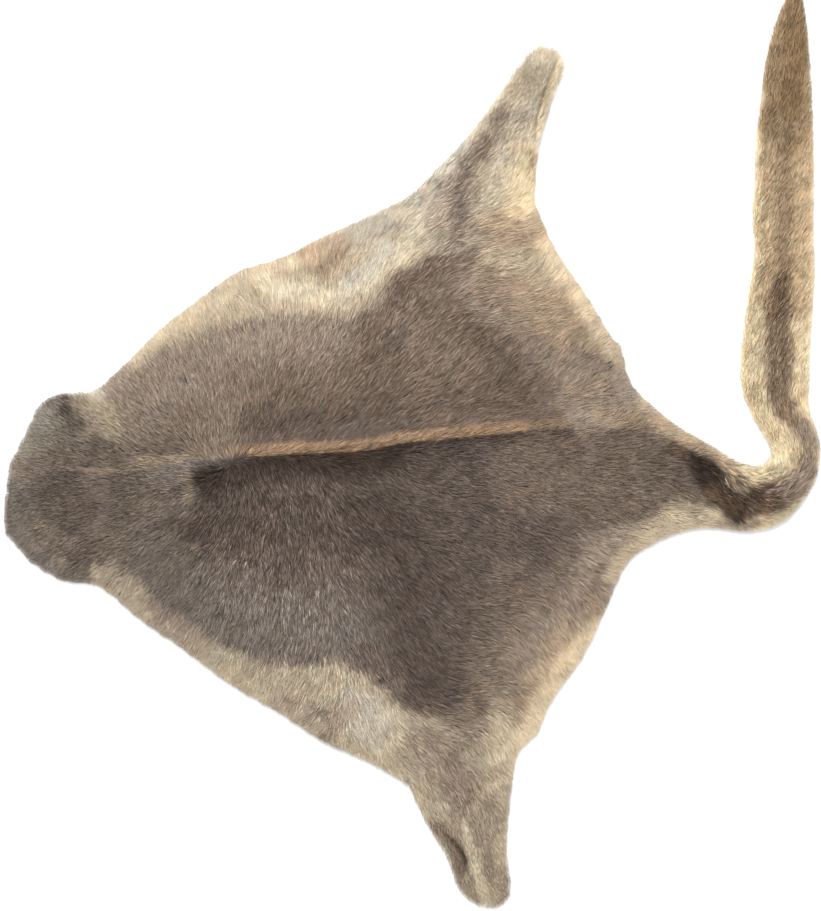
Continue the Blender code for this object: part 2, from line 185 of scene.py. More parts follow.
# Each stroke colours the coat along a line, as far as left and right of it, and fades over its blurs.
Stroke = namedtuple("Stroke", "name colour line left right blur_left blur_right strength")
STROKES = [Stroke(*row) for row in (
    ("side below the spine", "slate", [(-640, -19)] + SPINE + [(480, 20)], 0, 700, 7, 1, 1.0),
    ("head", "ash", [(-600, -19), (-450, -19)], 150, 150, 60, 60, 0.9),
    ("brow", "taupe", [(-550, 68), (-538, 86)], 14, 14, 20, 20, 0.4),
    ("neck above the parting", "mushroom",
     [(-454, 29), (-406, 65), (-316, 53)], 40, 26, 40, 34, 0.7),
    ("sandy start of the upper flank", "sand",
     [(-463, 77), (-424, 101), (-388, 134)], 30, 8, 5, 30, 0.6),
    ("smoky side of the muzzle", "shell",
     [(-580, -13), (-568, 20), (-547, 47)], 14, 14, 24, 22, 0.5),
    ("pale side of the muzzle", "mushroom",
     [(-583, -31), (-526, -23.5), (-484, -23.5)], 22, 3, 26, 8, 0.6),
    ("neck below the parting", "drab", [(-480, -80), (-380, -120)], 60, 60, 50, 50, 0.6),
    ("paler chin", "mushroom", [(-571, -104.5), (-529, -139), (-490, -160)], 12, 12, 20, 20, 0.5),
    ("light parting of the head", "mushroom",
     [(-612, -18), (-540, -20), (-400, -20)], 1, 1, 5, 5, 0.6),
    # Painted light: the head end of the lit upper slope of the spine crease.
    ("painted light at the head end of the spine crease", "fawn", [(-406, -10), (-358, -7)], 4, 4, 14, 14, 0.3),
    ("pale upper side", "mushroom",
     [(-430, 84), (-391, 130), (-286, 176), (-121, 196), (-80, 211)],
     60, 14, 40, 60, 0.9),
    ("above the spine", "drab", [(-330, 2), (-166, 8), (-16, 26), (180, 40)], 40, 0, 66, 4, 0.9),
    ("paler patch of the neck", "mushroom",
     [(-391, 45.5), (-334, 35), (-268, 53)], 10, 10, 30, 30, 0.5),
    ("dark above the middle of the spine", "slate",
     [(-230, 26), (-120, 36), (-20, 52)], 12, 20, 34, 12, 0.7),
    ("dark shoulder of the saddle", "drab", [(-46, 190), (-42, 80)], 18, 18, 34, 34, 0.75),
    ("dark bar of the haunch", "drab",
     [(128, 206), (152, 165.5), (170, 119), (194, 65)], 10, 30, 22, 40, 0.95),
    ("upper corner of the saddle", "taupe",
     [(-40, 233), (-4, 263), (32, 287)], 8, 20, 10, 30, 0.8),
    ("rosy haunch", "mushroom",
     [(89, 290), (95, 245), (146, 194), (188, 140), (218, 89)], 60, 2, 46, 34, 0.9),
    ("fawn beside the edge of the haunch", "fawn",
     [(203, 281), (242, 230), (275, 182)], 6, 12, 16, 22, 0.7),
    ("fawn haunch", "fawn", [(119, 311), (107, 269), (149, 221), (179, 194)], 60, 2, 26, 32, 0.7),
    ("sandy haunch", "sand", [(134, 305), (170, 296), (200, 269)], 8, 12, 20, 22, 0.7),
    ("straw edge of the rump", "straw",
     [(188, 372.5), (203, 338), (225.5, 294.5), (251, 258.5), (269, 227), (278, 212)],
     30, 16, 5, 22, 1.0),
    ("tan edge of the rump", "sand",
     [(290, 188), (305, 158), (317, 137), (330.5, 117.5), (338, 101), (353, 89), (372.5, 71),
      (390.5, 50), (420.5, 30.5), (450.5, 12.5), (480.5, -11.5), (500, -23.5)], 30, 8, 5, 26, 0.85),
    ("rump", "mushroom", [(260, 80), (302, 89)], 30, 26, 40, 26, 0.85),
    ("dark end of the haunch bar", "drab",
     [(140, 161), (164, 128), (188, 104), (200, 92)], 12, 14, 20, 22, 0.65),
    ("brown beside the haunch bar", "taupe",
     [(107, 269), (134, 233), (161, 200), (185, 170)], 8, 8, 22, 22, 0.55),
    ("lower rump", "taupe", [(189.5, -20.5), (380, -28)], 40, 50, 40, 40, 0.6),
    ("tan edge below the tail root", "sand",
     [(299, -175), (309.5, -160), (323, -145), (345.5, -142), (365, -131.5), (390.5, -116.5),
      (420.5, -103), (450.5, -104.5), (470, -107.5)], 18, 30, 34, 5, 0.95),
    ("inner side of the lower haunch", "mushroom",
     [(284, -157), (257, -202), (194, -271), (143, -346), (116, -415)], 60, 14, 10, 60, 0.9),
    ("brown lower haunch", "taupe", [(158, -202), (134, -277), (110, -367)], 20, 24, 40, 40, 0.5),
    ("fawn lower haunch", "fawn", [(242, -250), (197, -319), (155, -389.5)], 50, 2, 10, 26, 0.8),
    ("brown bar of the lower haunch", "drab",
     [(233, -145), (227, -194.5), (206, -229)], 5, 5, 24, 20, 0.4),
    ("sandy lower haunch", "sand", [(140, -391), (146, -464.5)], 8, 10, 30, 26, 0.75),
    ("brown before the lower leg", "taupe", [(176, -355), (159.5, -388)], 8, 8, 16, 16, 0.5),
    ("straw edge of the lower rump", "straw",
     [(150.5, -479.5), (165.5, -436), (189.5, -416.5), (210.5, -370), (225.5, -347.5),
      (249.5, -311.5), (275, -271)], 14, 30, 26, 5, 0.95),
    ("brown gap of the lower rump", "taupe",
     [(287, -178), (273.5, -220), (251, -250)], 8, 8, 16, 14, 0.6),
    ("pale rim below the rump", "sand",
     [(302, -166), (320, -143.5), (344, -125.5)], 0, 20, 10, 5, 0.75),
    ("tan band of the rump", "fawn", [(284, 62), (323, 57.5), (368, 45.5)], 6, 8, 20, 16, 0.45),
    ("pale middle of the rump", "fawn", [(242, 107), (278, 98)], 8, 8, 24, 20, 0.35),
    # Painted shade: the lower slope of the spine crease, turned away from the light.
    ("painted shade below the spine crease", "dark slate", [(-320, -30)] + SPINE[2:10], 0, 14, 3, 60, 0.7),
    ("painted shade along the spine crease", "dark slate",
     [(-46, 5), (-16, 12.5), (44, 21.5), (104, 30.5), (134, 35), (170, 38)], 0, 4, 3, 14, 0.8),
    ("darkest painted shade under the spine crease", "umber", [(-260, -14)] + SPINE[3:8], 2, 24, 3, 36, 0.85),
    # Dark hair of the whorl, with painted shade in its hollow.
    ("whorl", "umber", [(-307, -28), (-298, -50.5), (-283, -68.5)], 12, 12, 14, 14, 0.9),
    ("smoky saddle", "dark slate",
     [(-299.5, -89.5), (-215.5, -79), (-59.5, -85)], 16, 34, 30, 70, 0.9),
    ("brown spot of the lower side", "dark slate",
     [(-187, -175), (-157, -217)], 12, 12, 30, 30, 0.5),
    ("dark saddle edge", "dark slate",
     [(-61, -67), (-16, -117), (25, -190)], 16, 16, 46, 46, 0.6),
    ("lower saddle", "dark slate", [(-20, -212), (4, -285), (40, -350)], 16, 20, 40, 40, 0.65),
    ("pale lower side", "smoke",
     [(-436, -187), (-346, -227), (-256, -277), (-121, -280)], 50, 30, 60, 30, 0.8),
    ("grey lower side", "smoke", [(-330, -235), (-210, -255), (-110, -265)], 20, 20, 30, 30, 0.5),
    ("lower flank", "khaki",
     [(-331, -271), (-295, -292), (-241, -319), (-166, -334), (-112, -322), (-73, -343),
      (-40, -367), (-10, -391), (29, -412), (62, -430)], 1, 120, 22, 20, 0.9),
    ("mushroom start of the lower flank", "mushroom",
     [(-410.5, -217), (-376, -244), (-328, -277)], 6, 30, 20, 5, 0.7),
    ("sand edge of the lower flank", "sand",
     [(-299.5, -320.5), (-260.5, -346), (-220, -371.5), (-179.5, -395.5), (-140.5, -422.5),
      (-100, -442), (-59.5, -460), (-29.5, -476.5)], 6, 30, 22, 5, 0.35),
    ("whitish lower flank", "shell",
     [(-88, -358), (-58, -376), (-16, -400), (20, -418)], 6, 12, 10, 20, 0.85),
    ("whitish hair of the groin", "bone",
     [(-88, -385), (-58, -415), (-40, -433)], 12, 12, 18, 18, 0.35),
    # Painted shadow in the fur before the lower leg.
    ("painted shadow before the lower leg", "mushroom", [(-8, -446), (44, -482)], 8, 8, 18, 18, 0.6),
    ("brown into the lower leg", "drab",
     [(38, -379), (71, -409), (77, -457), (80, -502)], 6, 6, 16, 16, 0.6),
    ("brown below the saddle", "drab", [(89, -349), (107, -376)], 6, 6, 14, 16, 0.6),
    ("brown tuck of the lower flank", "mushroom",
     [(-150, -385), (-190, -372)], 12, 10, 22, 18, 0.6),
    ("brown end of the lower tuck", "mushroom", [(-88, -373), (-109, -400)], 8, 8, 16, 14, 0.6),
    ("brown tuck before the lower leg", "mushroom",
     [(-118, -395), (-122, -422)], 8, 8, 16, 16, 0.6),
    ("upper flank", "sand",
     [(-421, 155), (-361, 188), (-286, 215), (-226, 235), (-166, 230), (-112, 226), (-76, 243),
      (-46, 266), (-19, 286), (9.5, 308), (39.5, 328)], 120, 1, 20, 34, 1.0),
    ("cream band of the upper flank", "cream",
     [(-214, 254), (-166, 242), (-109, 230), (-76, 254), (-49, 279.5), (-19, 302), (14, 323),
      (35, 341)], 10, 8, 18, 10, 0.9),
    ("whitish upper belly", "shell",
     [(-100, 308), (-52, 332), (-13, 350), (20, 362)], 24, 4, 14, 14, 0.95),
    ("whitest upper belly", "bone", [(-88, 254), (-64, 281), (-34, 311)], 8, 8, 12, 12, 0.7),
    ("dark corner of the upper saddle", "drab",
     [(-31, 246.5), (-10, 266), (14, 285.5), (41, 300.5), (71, 309.5)], 0, 14, 20, 24, 0.85),
    ("brown tuck of the upper flank", "fawn",
     [(-157, 308), (-130, 290), (-106, 317)], 12, 12, 14, 14, 0.85),
    ("brown tuck before the upper leg", "mushroom", [(-19, 374), (-4, 347)], 4, 4, 10, 10, 0.5),
    ("upper leg", "light shell",
     [(63.5, 375.5), (104, 435.5), (149, 503), (209, 600.5)], 70, 66, 24, 20, 1.0),
    ("upper haunch", "fawn", [(119, 344), (158, 338), (194, 347)], 10, 10, 24, 20, 0.75),
    ("upper rim of the haunch", "fawn", [(131, 357.5), (164, 362)], 6, 6, 12, 12, 0.5),
    ("cream inside of the upper leg", "light straw",
     [(176, 446), (167, 407), (161, 371)], 16, 14, 10, 20, 0.85),
    ("whitish hair before the upper leg", "shell",
     [(8, 374), (41, 416), (68, 455)], 14, 12, 16, 14, 0.8),
    ("dark streak of the upper leg", "taupe",
     [(113, 464), (89, 437), (72.5, 401), (68, 365), (68, 329)], 4, 4, 32, 28, 0.9),
    ("grey heart of the dark streak", "smoke",
     [(89, 431), (72.5, 398), (69.5, 365)], 5, 5, 16, 14, 0.55),
    ("grey shade before the dark streak", "mushroom",
     [(54.5, 398), (47, 374), (38, 350)], 6, 8, 16, 16, 0.6),
    ("brown behind the dark streak", "taupe",
     [(98, 395), (90.5, 374), (87.5, 350)], 5, 5, 14, 14, 0.75),
    ("whitish upper edge before the leg", "bone",
     [(47, 419), (62, 440), (83, 465.5)], 12, 2, 5, 10, 0.7),
    ("brown shin of the upper leg", "taupe",
     [(134, 509), (125, 485), (110, 464)], 5, 5, 16, 18, 0.6),
    ("brown back of the upper shin", "mushroom", [(134, 506), (137, 473)], 6, 6, 16, 16, 0.4),
    ("golden patch of the upper haunch", "drab",
     [(47, 320), (89, 311), (101, 329)], 8, 8, 22, 24, 0.5),
    # Painted shadow beside the ridge of the turned edge.
    ("painted shadow beside the turned edge", "taupe",
     [(219.5, 593), (201.5, 548), (189.5, 509), (186.5, 473)], 0.5, 0.5, 3, 3, 0.5),
    # Painted highlight along the ridge of the turned edge.
    ("painted highlight on the turned edge", "light straw",
     [(224, 593), (206, 548), (194, 509), (189.5, 476)], 1.2, 1.2, 2, 2, 1.0),
    ("grey spot of the upper leg", "mushroom", [(143, 512), (164, 512)], 6, 6, 18, 18, 0.35),
    ("brown hollow of the upper leg", "fawn", [(183.5, 455), (183.5, 437)], 4, 4, 6, 6, 0.8),
    ("tan below the upper knee", "khaki", [(110, 419), (122, 375.5)], 10, 10, 22, 22, 0.5),
    ("lower leg", "khaki",
     [(20, -470.5), (74, -532), (105.5, -599.5), (119, -680.5)], 52, 56, 46, 34, 0.95),
    ("flank side of the lower leg", "mushroom",
     [(30, -440), (60, -470), (77, -500)], 12, 14, 26, 26, 0.7),
    ("groove of the lower shin", "taupe",
     [(59, -439), (77, -497.5), (77, -523)], 5, 5, 18, 18, 0.6),
    ("back of the lower leg", "sand",
     [(136, -430), (138, -500), (136, -590), (134, -640)], 8, 14, 20, 20, 0.8),
    ("brown back of the lower leg", "mushroom",
     [(143, -475), (138.5, -509.5), (128, -539.5)], 12, 14, 16, 16, 0.35),
    ("brown heart of the lower leg", "taupe",
     [(26, -439), (71, -494.5), (104, -550)], 26, 22, 30, 30, 0.4),
    ("strip before the pleat", "taupe",
     [(68, -610), (78.5, -637), (86, -658)], 4, 8, 5, 12, 0.25),
    # Painted shade around the pleat of the lower leg.
    ("painted shade beside the pleat", "taupe",
     [(44, -556), (62, -574), (77, -601), (81.5, -619)], 4, 8, 6, 14, 0.85),
    # Painted shadow in the pocket under the pleat.
    ("painted shadow in the pleat", "umber",
     [(53, -568), (66.5, -578.5), (78.5, -595), (84.5, -610)], 0.5, 1.5, 3, 7, 0.75),
    # Painted highlight on the ridge of the pleat.
    ("painted highlight on the pleat's ridge", "cream",
     [(83, -553), (93.5, -595), (104, -637), (110, -676)], 3, 4.5, 6, 6, 0.65),
    # Painted shade in the second trough of the lower leg.
    ("painted shade of the lower leg's second trough", "mushroom", [(112, -575), (122, -644)], 3, 4, 8, 8, 0.7),
    ("heel of the lower leg", "mushroom", [(142, -625), (142, -665)], 8, 8, 12, 12, 0.7),
    # Painted shade beside a small fold before the ear.
    ("painted shade of the fold before the ear", "dark slate", [(-514, 76), (-496, 53)], 6, 6, 20, 20, 0.6),
    ("dark of the nape", "dark slate", [(-476, 8), (-456, 11)], 7, 7, 20, 20, 0.55),
    # Painted shade in the soft trough across the throat.
    ("painted shade of the throat trough", "slate",
     [(-481, -79), (-479.5, -134.5), (-496, -166)], 8, 8, 20, 20, 0.55),
    ("paler cheek", "taupe", [(-466, -120), (-440, -150)], 10, 10, 30, 30, 0.5),
    ("whitish cheek", "bone", [(-496, 94), (-470, 92)], 10, 3, 5, 10, 0.9),
    ("pale band behind the ear", "khaki",
     [(-490, 80), (-463, 65), (-451, 38)], 10, 10, 18, 18, 0.8),
    ("sandy jaw corner", "khaki", [(-451, -178), (-427, -199), (-409, -214)], 2, 30, 26, 5, 0.75),
    # Painted light: the upper slope of the spine crease, lit from above.
    ("painted light at the start of the spine crease", "painted light of the spine",
     [(-268, 3.5), (-223, 5), (-166, 12.5)], 8, 0, 10, 3, 0.4),
    ("painted light on the spine crease", "painted light of the spine", SPINE[3:12] + [(160, 36)], 12, 0, 8, 3, 0.8),
    ("painted light at the end of the spine crease", "painted light of the spine", [(150, 37), (224, 42)], 8, 0, 12, 6, 0.4),
    # Painted light fading out along the spine crease before the whorl.
    ("fading painted light before the whorl", "fawn",
     [(-406, -10), (-352, -8.5), (-268, 5)], 6, 0, 10, 6, 0.25),
    ("tan spots before the whorl", "fawn", [(-334, -31), (-337, -67)], 3, 3, 10, 10, 0.3),
    ("soft start of the saddle", "smoke",
     [(-322, -13), (-280, -8.5), (-247, -1)], 2, 3, 8, 10, 0.5),
    ("dark above the tail root", "slate", [(380, -30), (420, -46)], 22, 12, 30, 30, 0.4),
    ("brown start of the tail root", "bark", [(392, 17), (419, 8), (440, -7)], 4, 8, 10, 16, 0.6),
    ("tail", "light straw",
     [(519.5, -65.5), (545, -58), (561.5, -29.5), (566, 3.5), (560, 39.5), (549.5, 80),
      (546.5, 129.5), (548, 203), (555.5, 260), (558.5, 308), (560, 470), (576.5, 710)],
     60, 60, 12, 12, 1.0),
    ("upper half of the tail", "honey",
     [(555.5, 239), (560, 383), (564.5, 578), (576.5, 701)], 26, 34, 18, 18, 0.68),
    ("browner upper tail", "tip brown",
     [(563, 500), (566, 548), (573.5, 683)], 26, 30, 30, 30, 0.6),
    ("light side of the tail", "light straw", [(524, 395), (527, 311)], 8, 20, 14, 10, 0.6),
    ("stripe of the tail", "tail brown",
     [(588.5, -10), (590, 11), (581, 35), (564.5, 60.5), (555.5, 86), (549.5, 120.5),
      (548, 165.5), (551, 210.5), (555.5, 255.5)], 8, 8, 20, 20, 0.84),
    ("thin stripe of the tail", "tail brown",
     [(555.5, 248), (558.5, 323), (561.5, 413), (564.5, 488)], 3, 3, 16, 16, 0.4),
    ("top of the dark stripe", "tail brown", [(564.5, 290), (561.5, 254)], 5, 5, 12, 12, 0.55),
    ("wide part of the stripe", "tail brown",
     [(564.5, 188), (566, 155), (564.5, 119)], 5, 5, 12, 14, 0.55),
    ("low part of the stripe", "tail brown",
     [(539, 104), (543.5, 78.5), (555.5, 53)], 3, 3, 10, 10, 0.5),
    ("brown upper end of the tail", "tip brown",
     [(569, 518), (573.5, 578), (576.5, 623), (579.5, 683)], 8, 9, 18, 18, 0.7),
    ("grey outer side of the bend", "mushroom",
     [(587, 32), (596, 14), (593, -13), (578, -43)], 16, 4, 6, 14, 0.65),
    ("light curl of the bend", "light straw",
     [(542, 42.5), (560, 32), (572, 8)], 8, 8, 12, 12, 0.6),
    ("brown lower side of the bend", "bark",
     [(569, -46), (554, -56.5), (521, -62.5), (500, -70)], 9, 8, 14, 14, 0.95),
    ("pale rim of the bend", "mushroom",
     [(593, -46), (584, -55), (551, -79), (518, -97), (488, -109)], 4, 30, 12, 4, 0.7),
    ("dark root of the tail", "sepia",
     [(435.5, -4), (446, -22), (458, -43), (474.5, -67), (491, -85)], 8, 12, 18, 20, 0.95),
    ("tangled root of the tail", "umber",
     [(467, -25), (494, -46), (512, -67)], 10, 10, 14, 14, 0.85),
    ("brown below the tail root", "bark",
     [(452, -64), (479, -77.5), (506, -80.5), (542, -71.5)], 8, 7, 12, 12, 0.9),
    ("light rim of the tail root", "fawn",
     [(374, 41), (399.5, 24.5), (425, 11), (449, -4), (473, -20.5)], 14, 0, 1, 7, 0.6),
    ("pale lower rim of the tail root", "sand",
     [(419, -109), (458, -113.5), (485, -118)], 3, 30, 8, 4, 0.7),
)]

# How the hair lies: heading of the tips in degrees from +X towards +Y, and length in millimetres.
Comb = namedtuple("Comb", "place x y heading length")
COMBS = [Comb(*row) for row in (
    ("nose", -600, -20, 175, 9), ("muzzle above", -590, 30, 158, 9),
    ("muzzle below", -590, -90, 212, 9), ("chin", -560, -150, 218, 10), ("brow", -540, 20, 160, 9),
    ("face", -530, -30, 172, 9), ("cheek below", -520, -95, 200, 10), ("ear", -510, 80, 140, 11),
    ("jaw", -490, -170, 215, 12), ("nape", -460, 10, 160, 12), ("nape below", -460, -50, 182, 12),
    ("throat", -450, -110, 197, 13), ("neck above", -450, 90, 138, 14),
    ("neck edge", -440, 120, 128, 16), ("neck", -400, 30, 140, 14), ("neck middle", -400, -22, 178, 14),
    ("neck below", -400, -85, 205, 14), ("neck low edge", -430, -205, 232, 16),
    ("shoulder below", -390, -150, 222, 15), ("shoulder above", -345, 100, 112, 16),
    ("shoulder edge", -330, 200, 114, 20), ("before the whorl", -340, -22, 172, 14),
    ("beside the whorl", -345, -85, 216, 14), ("shoulder low", -345, -205, 236, 17),
    ("shoulder low edge", -350, -270, 240, 20), ("above the whorl", -290, 30, 98, 14),
    ("below the whorl", -285, -80, 245, 14), ("back start", -240, 35, 66, 15),
    ("back start high", -250, 98, 94, 17), ("back start edge", -235, 240, 112, 22),
    ("flank high", -280, 158, 104, 18), ("below the spine start", -235, -35, 285, 14),
    ("side start", -230, -110, 264, 16), ("side low", -230, -200, 258, 18),
    ("side low edge", -260, -320, 248, 22), ("back", -160, 40, 50, 16),
    ("back high", -165, 100, 58, 17), ("side high", -160, 160, 66, 18),
    ("belly high", -160, 250, 92, 22), ("below the back", -165, -40, 290, 15),
    ("side", -160, -120, 276, 17), ("side lower", -165, -210, 270, 18),
    ("belly low", -160, -300, 256, 20), ("belly low edge", -150, -390, 236, 22),
    ("mid back", -60, 45, 44, 17), ("mid side high", -50, 130, 50, 18),
    ("mid flank high", -60, 230, 68, 19), ("belly high edge", -60, 330, 62, 22),
    ("below mid back", -50, -30, 330, 16), ("mid side low", -60, -100, 314, 17),
    ("mid flank low", -60, -200, 302, 18), ("flank low", -60, -290, 292, 19),
    ("flank low edge", -50, -400, 290, 22), ("loin", 40, 55, 28, 17), ("loin high", 30, 140, 45, 18),
    ("loin edge", 20, 250, 44, 18), ("groin high", 20, 350, 36, 21),
    ("below the loin", 50, -20, 348, 17), ("loin low", 40, -100, 342, 18),
    ("loin lower", 30, -200, 318, 18), ("loin low edge", 20, -300, 312, 19),
    ("groin low", 10, -420, 318, 21), ("rump", 150, 60, 16, 18), ("rump high", 130, 130, 44, 18),
    ("haunch high", 110, 240, 14, 20), ("thigh high", 90, 330, 24, 22),
    ("thigh inner high", 140, 320, 10, 21), ("below the rump", 150, -30, 345, 18),
    ("rump low", 140, -120, 334, 18), ("haunch low", 120, -220, 350, 17),
    ("thigh low", 90, -330, 5, 20), ("haunch inner low", 60, -400, 345, 19),
    ("back rump", 250, 60, 12, 18), ("back rump high", 240, 130, 44, 17),
    ("rump edge high", 210, 280, 52, 20), ("rump side high", 165, 225, 8, 19),
    ("below back rump", 250, -40, 350, 18), ("back rump low", 230, -130, 334, 18),
    ("rump edge low", 250, -260, 304, 20), ("rump side low", 190, -300, 312, 19),
    ("tail root high", 330, 60, 18, 17), ("tail root", 340, -10, 4, 18),
    ("tail root low", 330, -100, 345, 18), ("tail step high", 400, 15, 0, 18),
    ("tail step", 410, -50, 342, 20), ("tail step low", 420, -95, 356, 18),
    ("upper knee", 110, 420, 42, 18), ("upper shin", 145, 480, 50, 14),
    ("upper shin inner", 185, 430, 62, 18), ("upper foot", 190, 570, 58, 8),
    ("upper toe", 215, 620, 60, 8), ("lower knee", 60, -460, 308, 18),
    ("lower knee inner", 130, -440, 300, 18), ("lower shin", 85, -530, 290, 14),
    ("lower shin inner", 130, -540, 300, 13), ("lower foot", 95, -620, 286, 8),
    ("lower toe", 115, -670, 292, 8), ("tail knot", 462, -45, 322, 24),
    ("tail knot low", 490, -85, 316, 24), ("tail bend low", 540, -88, 352, 15),
    ("tail bend", 575, -50, 35, 13), ("tail bend outer", 600, -5, 80, 12),
    ("tail bend inner", 560, 20, 112, 12), ("tail bend high", 580, 50, 112, 12),
    ("tail base", 548, 98, 76, 13), ("tail quarter", 550, 200, 62, 13),
    ("tail middle", 558, 330, 60, 13), ("tail upper", 560, 480, 68, 13), ("tail end", 570, 620, 74, 14),
    ("tail tip", 577, 700, 84, 15),
)]

# Where the coat is rougher than elsewhere its hairs differ more, where it is smoother they differ less.
TOUSLE_EDGE = 1.5
Tousle = namedtuple("Tousle", "place x y reach gain")
TOUSLES = [Tousle(*row) for row in (
    ("lower side", -190, -150, 130, 0.9),
    ("lower flank", -110, -390, 110, 0.8),
    ("upper thigh", 60, 390, 90, 0.7),
    ("lower thigh", 60, -470, 90, 0.4),
    ("bend of the tail", 540, -40, 80, 0.9),
    ("upper saddle", 30, 190, 120, 0.35),
    ("upper flank", -160, 240, 120, 0.3),
    ("middle of the tail", 560, 200, 120, 0.5),
    ("smooth head", -520, -40, 120, -0.35),
    ("smooth rump", 270, 50, 120, -0.3),
)]

# Light strands lie over the dark root of the tail.
KNOT = (484, -23)
KNOT_REACH = 31.0
KNOT_BLUR = 14.0
KNOT_SHARE = 0.28
KNOT_STRENGTH = 0.8

# Scars: bare dark pits in the upper rump.
PIT_DIP = 1.4
Pit = namedtuple("Pit", "name x y across along")
PITS = [Pit(*row) for row in (
    ("small pit", 297.5, 139.0, 2.4, 1.6),
    ("pit", 299.0, 131.5, 2.8, 3.6),
)]

# The coat is made in pieces by where the hair grows. The first patch that holds a root takes it.
Patch = namedtuple("Patch", "name west east south north")
PATCHES = [Patch(*row) for row in (
    ("coat_of_head_and_neck", -700, -285, -800, 800),
    ("coat_of_upper_side", -285, -10, 20, 800),
    ("coat_of_lower_side", -285, -60, -800, 20),
    ("coat_of_lower_haunch", -60, 140, -800, 20),
    ("coat_of_upper_haunch", -10, 430, 20, 800),
    ("coat_of_tail", 140, 700, -800, 800),
)]


def ease(share):
    """Smooth step from 0 to 1."""
    share = np.clip(share, 0.0, 1.0)
    return share * share * (3.0 - 2.0 * share)


def ripple(spots, size, seed, waves=9):
    """Soft uneven field of about -1 to 1 with bumps about a size across."""
    draw = np.random.default_rng(seed)
    angle = draw.uniform(0.0, 2.0 * math.pi, waves)
    pitch = 2.0 * math.pi / (size * draw.uniform(SHORT_RIPPLE, LONG_RIPPLE, waves))
    phase = draw.uniform(0.0, 2.0 * math.pi, waves)
    total = np.zeros(len(spots))
    for a, p, f in zip(angle, pitch, phase):
        total += np.sin((spots[:, 0] * math.cos(a) + spots[:, 1] * math.sin(a)) * p + f)
    return total / math.sqrt(waves)


def along_line(line, spots):
    """Distance of each spot from a line, and whether it lies on the line's left."""
    knots = np.array(line, float)
    best = np.full(len(spots), np.inf)
    left = np.zeros(len(spots), bool)
    for start, end in zip(knots, knots[1:]):
        way = end - start
        offset = spots - start
        share = np.clip(offset @ way / (way @ way), 0.0, 1.0)
        gap = offset - share[:, None] * way
        distance = np.hypot(gap[:, 0], gap[:, 1])
        nearer = distance < best
        side = way[0] * offset[:, 1] - way[1] * offset[:, 0] > 0.0
        left = np.where(nearer, side, left)
        best = np.where(nearer, distance, best)
    return best, left


def linear(colour):
    """Linear light of a colour given in 8-bit screen values."""
    screen = np.array(colour, float) / 255.0
    return np.where(screen <= 0.04045, screen / 12.92, ((screen + 0.055) / 1.055) ** 2.4)


def stroke_cover(stroke, spots):
    """How much of a stroke's colour each spot takes."""
    distance, left = along_line(stroke.line, spots)
    reach = np.where(left, stroke.left, stroke.right)
    blur = np.where(left, stroke.blur_left, stroke.blur_right)
    return stroke.strength * ease(1.0 - (distance - reach) / blur)


def paint(spots):
    """Colour of the coat at each spot, in linear light."""
    coarse = np.stack([ripple(spots, COARSE, 3), ripple(spots, COARSE, 4)], 1)
    fine = np.stack([ripple(spots, FINE, 5), ripple(spots, FINE, 6)], 1)
    loose = spots + COARSE_DRIFT * coarse + FINE_DRIFT * fine
    colour = np.tile(linear(PALETTE["taupe"]), (len(spots), 1))
    for stroke in STROKES:
        crisp = min(stroke.blur_left, stroke.blur_right) < CRISP_BLUR
        cover = stroke_cover(stroke, spots if crisp else loose)[:, None]
        colour = colour * (1.0 - cover) + linear(PALETTE[stroke.colour]) * cover
    mottle = 1.0 + MOTTLE * ripple(spots, MOTTLE_SIZE, 8)
    warmth = WARMTH * ripple(spots, WARMTH_SIZE, 9)
    return colour * np.column_stack([mottle + warmth, mottle, mottle - warmth])


def tousled(spots):
    """How rough the coat is at each spot, 1 where it lies smooth."""
    rough = np.ones(len(spots))
    for place in TOUSLES:
        gap = np.hypot(spots[:, 0] - place.x, spots[:, 1] - place.y)
        rough += place.gain * ease(TOUSLE_EDGE - gap / place.reach)
    return rough


def combed(spots):
    """Heading as unit vectors and hair length at each spot, from the nearest combs."""
    total = np.zeros((len(spots), 3))
    weights = np.zeros(len(spots))
    for comb in COMBS:
        gap = (spots[:, 0] - comb.x) ** 2 + (spots[:, 1] - comb.y) ** 2
        weight = 1.0 / (gap + COMB_BLUR) ** 2
        turn = math.radians(comb.heading)
        total += weight[:, None] * np.array([math.cos(turn), math.sin(turn), comb.length])
        weights += weight
    heading = total[:, :2] / np.maximum(np.hypot(total[:, 0], total[:, 1]), 1e-12)[:, None]
    return heading, total[:, 2] / weights


class Lattice:
    """Values on the square lattice, read between its knots."""

    def __init__(self, west, south, values):
        self.west = west
        self.south = south
        self.values = values

    def at(self, spots):
        across = np.clip((spots[:, 0] - self.west) / LATTICE, 0.0, self.values.shape[1] - 1.001)
        up = np.clip((spots[:, 1] - self.south) / LATTICE, 0.0, self.values.shape[0] - 1.001)
        i = across.astype(int)
        j = up.astype(int)
        a = across - i
        b = up - j
        low = self.values[j, i] * (1.0 - a) + self.values[j, i + 1] * a
        high = self.values[j + 1, i] * (1.0 - a) + self.values[j + 1, i + 1] * a
        return low * (1.0 - b) + high * b


def filled(values, known, rounds):
    """Spreads known values outward over the unknown ones round by round."""
    values = np.where(known, values, 0.0)
    known = known.copy()
    for _ in range(rounds):
        total = np.zeros_like(values)
        count = np.zeros_like(values)
        for shift in ((0, 1), (0, -1), (1, 0), (-1, 0), (1, 1), (1, -1), (-1, 1), (-1, -1)):
            total += np.roll(values * known, shift, (0, 1))
            count += np.roll(known.astype(float), shift, (0, 1))
        new = ~known & (count > 0.0)
        values[new] = total[new] / count[new]
        known |= new
    return values


def survey(points):
    """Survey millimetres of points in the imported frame."""
    return (np.asarray(points)[:, :2] - SHIFT) / MM


def placed(spots, heights):
    """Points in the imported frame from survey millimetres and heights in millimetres."""
    flat = np.asarray(spots) * MM + SHIFT
    return np.column_stack([flat, np.asarray(heights) * MM])


